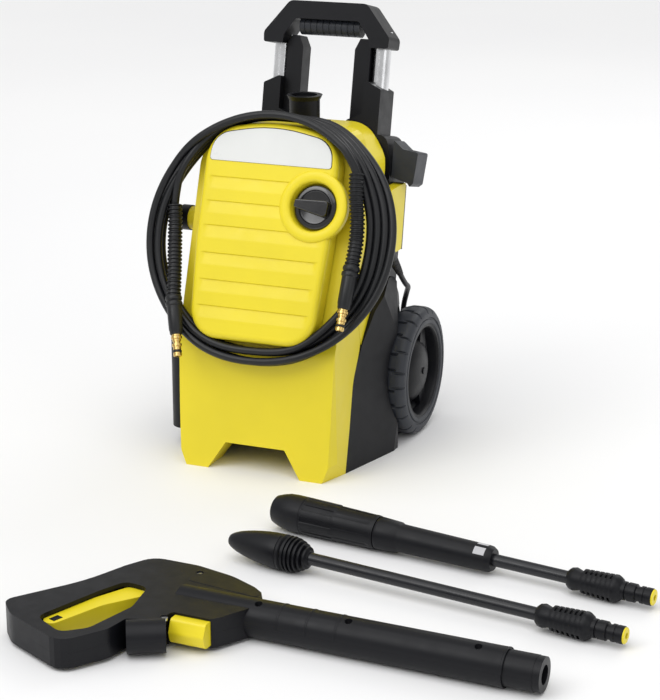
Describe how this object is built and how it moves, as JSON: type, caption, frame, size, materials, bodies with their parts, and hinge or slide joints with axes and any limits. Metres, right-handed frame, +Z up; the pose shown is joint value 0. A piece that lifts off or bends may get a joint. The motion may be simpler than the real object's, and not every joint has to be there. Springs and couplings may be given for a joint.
{
  "type": "pressure washer",
  "caption": "Wheeled upright pressure washer with telescopic handle, front power knob, coiled hose, spray gun and two lances lying beside it.",
  "frame": {"origin": "on the ground under the machine, on its middle plane", "axes": "+Z up, front faces -Y, +X to the right seen from the front"},
  "size_m": [0.7628, 1.0354, 0.5901],
  "materials": {
    "yellow_shell": "semi-gloss moulded",
    "black_shell": "fine moulded grain",
    "charcoal_shell": "satin moulded",
    "badge_white": "satin",
    "gloss_black": "high gloss",
    "tyre_rubber": "matt with tread",
    "hose_rubber": "satin",
    "cable_rubber": "matt",
    "brass": "turned",
    "steel": "zinc plated",
    "plated_pin": "nickel plated",
    "tube_aluminium": "polished anodised",
    "cast_alloy": "cast",
    "motor_metal": "satin",
    "lance_tube": "satin sleeve over steel"
  },
  "bodies": {
    "machine": {"front_cover": "yellow_shell", "front_plate": "yellow_shell", "badge_plate": "badge_white", "main_housing": "yellow_shell", "rear_cover": "black_shell", "chassis": "black_shell", "side_panel_right": "black_shell", "side_panel_left": "black_shell", "holder_right": "charcoal_shell", "holder_left": "charcoal_shell", "upright_right": "black_shell", "upright_left": "black_shell", "hose_hook": "black_shell", "outlet_collar": "yellow_shell", "outlet_socket": "black_shell", "outlet_pipe": "steel", "water_inlet": "black_shell", "motor_housing": "motor_metal", "pump_head": "cast_alloy", "switch_box": "black_shell", "axle": "steel", "cover_screws": "steel", "hose_coil": "hose_rubber", "hose_sleeve_right": "hose_rubber", "hose_sleeve_left": "hose_rubber", "hose_nipple_right": "brass", "hose_nipple_left": "brass", "strain_relief": "cable_rubber", "mains_cable": "cable_rubber", "mains_coil": "cable_rubber", "mains_tail": "cable_rubber", "cable_tie": "cable_rubber", "plug": "cable_rubber", "plug_pins": "plated_pin"},
    "knob": {"power_knob": "gloss_black"},
    "wheel_right": {"tyre_right": "tyre_rubber", "rim_right": "black_shell"},
    "wheel_left": {"tyre_left": "tyre_rubber", "rim_left": "black_shell"},
    "handle": {"handle_grip": "black_shell", "grip_insert": "charcoal_shell", "handle_tubes": "tube_aluminium"},
    "rotor_shaft": {"motor_rotor": "motor_metal"},
    "gun": {"gun_shell_upper": "black_shell", "gun_shell_lower": "black_shell", "gun_screws": "steel", "gun_hose_socket": "charcoal_shell", "gun_lance_socket": "black_shell", "trigger_axle": "steel"},
    "trigger": {"trigger": "yellow_shell"},
    "trigger_lock": {"trigger_lock": "black_shell"},
    "release_button": {"release_button": "yellow_shell"},
    "vario_lance": {"vario_tube": "lance_tube", "vario_body": "black_shell", "vario_coupling": "black_shell"},
    "vario_sleeve": {"vario_sleeve": "black_shell"},
    "rotor_lance": {"rotor_tube": "lance_tube", "rotor_nozzle": "black_shell", "rotor_cage": "black_shell", "rotor_coupling": "black_shell"}
  },
  "joints": [
    {"name": "handle_slide", "type": "slide", "parent": "machine", "child": "handle", "axis": [0, 0.2079, 0.9781], "range_m": [0, 0.25]},
    {"name": "knob_turn", "type": "hinge", "parent": "machine", "child": "knob", "pos_m": [0.067, -0.12856, 0.35312], "axis": [0, -0.9455, 0.3256], "range_deg": [-90, 0]},
    {"name": "wheel_right_spin", "type": "hinge", "parent": "machine", "child": "wheel_right", "pos_m": [0.134, 0.0555, 0.0893], "axis": [1, 0, 0], "continuous": true},
    {"name": "wheel_left_spin", "type": "hinge", "parent": "machine", "child": "wheel_left", "pos_m": [-0.134, 0.0555, 0.0893], "axis": [1, 0, 0], "continuous": true},
    {"name": "motor_spin", "type": "hinge", "parent": "machine", "child": "rotor_shaft", "pos_m": [0, -0.045, 0.12], "axis": [0, 0, 1], "continuous": true},
    {"name": "gun_lift", "type": "slide", "parent": "machine", "child": "gun", "axis": [0, 0, 1], "range_m": [0, 0.15]},
    {"name": "trigger_pull", "type": "hinge", "parent": "gun", "child": "trigger", "pos_m": [0.07609, -0.64445, 0.0215], "axis": [0, 0, 1], "range_deg": [-7, 0], "stiffness_Nm_per_rad": 4, "springref_deg": 5.73},
    {"name": "trigger_lock_push", "type": "slide", "parent": "trigger", "child": "trigger_lock", "axis": [0, 0, 1], "range_m": [0, 0.003]},
    {"name": "release_press", "type": "slide", "parent": "gun", "child": "release_button", "axis": [0.0401, 0.9992, 0], "range_m": [0, 0.004], "stiffness_N_per_m": 800, "springref_m": -0.004},
    {"name": "vario_lift", "type": "slide", "parent": "machine", "child": "vario_lance", "axis": [0, 0, 1], "range_m": [0, 0.15]},
    {"name": "vario_sleeve_turn", "type": "hinge", "parent": "vario_lance", "child": "vario_sleeve", "pos_m": [0.094, -0.346, 0.02414], "axis": [0.9911, -0.1322, -0.0175], "range_deg": [0, 90]},
    {"name": "rotor_lift", "type": "slide", "parent": "machine", "child": "rotor_lance", "axis": [0, 0, 1], "range_m": [0, 0.15]}
  ]
}
